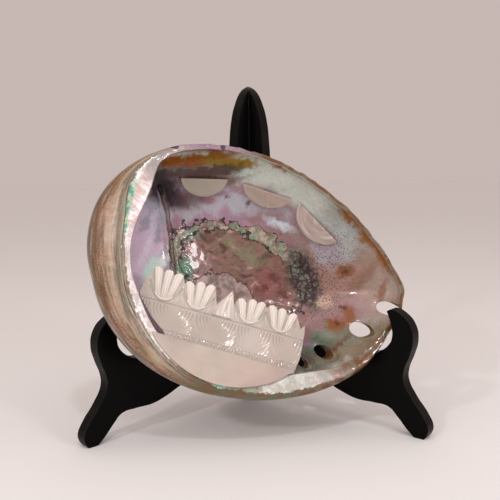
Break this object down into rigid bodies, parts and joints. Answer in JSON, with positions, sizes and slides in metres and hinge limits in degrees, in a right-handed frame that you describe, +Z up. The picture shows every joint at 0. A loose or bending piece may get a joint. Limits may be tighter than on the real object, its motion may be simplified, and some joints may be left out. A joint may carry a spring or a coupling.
{
  "type": "abalone shell on a stand",
  "caption": "Polished abalone shell, mouth forward, with half-moon and carved mother-of-pearl plates, leaning in a black folding two-board plate stand.",
  "frame": {"origin": "the point on the surface the stand stands on, under the middle of the whole object's box", "axes": "+Z up; -Y is the side the shell's mouth faces; +X is to the right seen from that side"},
  "size_m": [0.2042, 0.0988, 0.2086],
  "materials": {
    "abalone_nacre": "polished iridescent nacre, brown growth margin",
    "pale_pearl": "polished mother-of-pearl",
    "clear_pearl": "polished pale mother-of-pearl",
    "carved_pearl": "polished carved mother-of-pearl",
    "black_lacquer": "black lacquered wood, satin"
  },
  "bodies": {
    "root": {"shell": "abalone_nacre", "half_moon_left": "pale_pearl", "half_moon_middle": "pale_pearl", "half_moon_right": "pale_pearl", "pocket_front": "clear_pearl", "carved_plate": "carved_pearl", "stand_board_right": "black_lacquer", "stand_board_left": "black_lacquer"}
  },
  "joints": []
}
